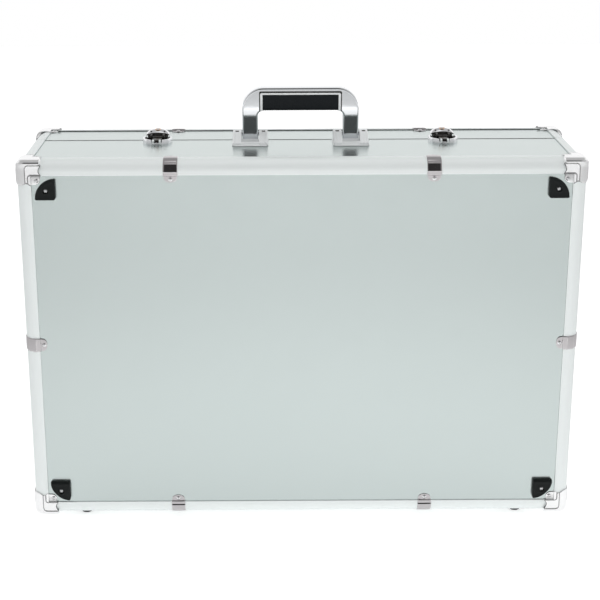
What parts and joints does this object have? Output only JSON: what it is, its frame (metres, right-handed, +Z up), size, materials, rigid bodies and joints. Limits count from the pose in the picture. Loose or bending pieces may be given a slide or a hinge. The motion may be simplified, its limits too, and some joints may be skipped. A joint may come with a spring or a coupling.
{
  "type": "guitar pedal case",
  "caption": "Hard case in silver panels and rounded aluminium edge profiles, with corner caps, clips, sprung latches, a folding handle, rubber feet and a hinged lid over a pedal board",
  "frame": {"origin": "under the middle of the case, on the surface that it stands on", "axes": "+X to the right along the case's width, +Y from the base's face to the lid's face, +Z up"},
  "size_m": [0.702, 0.202, 0.558],
  "materials": {
    "silver_laminate": "silver-grey satin laminate on plywood",
    "satin_profile": "satin anodised extrusion",
    "rim_aluminium": "satin anodised strip",
    "pressed_chrome": "bright pressed sheet",
    "rivet_steel": "bright rivet head",
    "black_rubber": "matt moulded rubber",
    "grey_rubber": "matt moulded rubber",
    "satin_bracket": "satin die-casting",
    "pin_steel": "turned steel",
    "latch_chrome": "bright chrome plating",
    "lock_brass": "turned brass",
    "handle_chrome": "bright chrome plating",
    "grip_rubber": "black ribbed rubber",
    "hinge_steel": "zinc-plated steel",
    "board_plywood": "sanded plywood",
    "board_carpet": "black loop carpet",
    "foam_grey": "open-cell foam"
  },
  "bodies": {
    "base": {"base_panel": "silver_laminate", "base_wall_top": "silver_laminate", "base_wall_bottom": "silver_laminate", "base_wall_left": "silver_laminate", "base_wall_right": "silver_laminate", "base_profile_top": "satin_profile", "base_profile_bottom": "satin_profile", "base_profile_left": "satin_profile", "base_profile_right": "satin_profile", "base_corner_profile_top_left": "satin_profile", "base_corner_profile_top_right": "satin_profile", "base_corner_profile_bottom_left": "satin_profile", "base_corner_profile_bottom_right": "satin_profile", "base_rim": "rim_aluminium", "base_corner_caps": "pressed_chrome", "base_clips": "pressed_chrome", "rubber_feet": "black_rubber", "rubber_foot_screws": "rivet_steel", "base_stand_feet": "grey_rubber", "handle_bracket_left": "satin_bracket", "handle_bracket_right": "satin_bracket", "handle_pins": "pin_steel", "latch_dish_left": "latch_chrome", "latch_dish_right": "latch_chrome", "latch_pins": "pin_steel", "hinge_base_leaves": "hinge_steel", "hinge_pins": "pin_steel", "pedal_board": "board_plywood", "pedal_board_carpet": "board_carpet"},
    "lid": {"lid_panel": "silver_laminate", "lid_wall_top": "silver_laminate", "lid_wall_bottom": "silver_laminate", "lid_wall_left": "silver_laminate", "lid_wall_right": "silver_laminate", "lid_profile_top": "satin_profile", "lid_profile_bottom": "satin_profile", "lid_profile_left": "satin_profile", "lid_profile_right": "satin_profile", "lid_corner_profile_top_left": "satin_profile", "lid_corner_profile_top_right": "satin_profile", "lid_corner_profile_bottom_left": "satin_profile", "lid_corner_profile_bottom_right": "satin_profile", "lid_rim": "rim_aluminium", "lid_corner_caps": "pressed_chrome", "lid_clips": "pressed_chrome", "lid_stand_feet": "grey_rubber", "latch_keeper_left": "latch_chrome", "latch_keeper_right": "latch_chrome", "hinge_lid_leaves": "hinge_steel", "lid_foam_pad": "foam_grey"},
    "handle": {"handle_frame": "handle_chrome", "handle_grip": "grip_rubber"},
    "lever_left": {"latch_lever_left": "latch_chrome"},
    "lever_right": {"latch_lever_right": "latch_chrome"},
    "hasp_left": {"latch_hasp_left": "latch_chrome", "latch_lock_left": "lock_brass"},
    "hasp_right": {"latch_hasp_right": "latch_chrome", "latch_lock_right": "lock_brass"}
  },
  "joints": [
    {"name": "lid_hinge", "type": "hinge", "parent": "base", "child": "lid", "pos_m": [0, 0.025, 0.0079], "axis": [-1, 0, 0], "range_deg": [0, 105]},
    {"name": "handle_fold", "type": "hinge", "parent": "base", "child": "handle", "pos_m": [0, 0.013, 0.497], "axis": [1, 0, 0], "range_deg": [0, 80]},
    {"name": "latch_lever_left", "type": "hinge", "parent": "base", "child": "lever_left", "pos_m": [-0.1845, 0.0225, 0.4907], "axis": [-1, 0, 0], "range_deg": [0, 100]},
    {"name": "latch_lever_right", "type": "hinge", "parent": "base", "child": "lever_right", "pos_m": [0.1845, 0.0225, 0.4907], "axis": [-1, 0, 0], "range_deg": [0, 100]},
    {"name": "latch_hasp_left", "type": "hinge", "parent": "lever_left", "child": "hasp_left", "pos_m": [-0.1845, 0.0175, 0.4921], "axis": [-1, 0, 0], "range_deg": [-115, 0]},
    {"name": "latch_hasp_right", "type": "hinge", "parent": "lever_right", "child": "hasp_right", "pos_m": [0.1845, 0.0175, 0.4921], "axis": [-1, 0, 0], "range_deg": [-115, 0]}
  ],
  "couplings": [
    {"joint": "latch_hasp_left", "follows": "latch_lever_left", "ratio": -1.15},
    {"joint": "latch_hasp_right", "follows": "latch_lever_right", "ratio": -1.15}
  ]
}
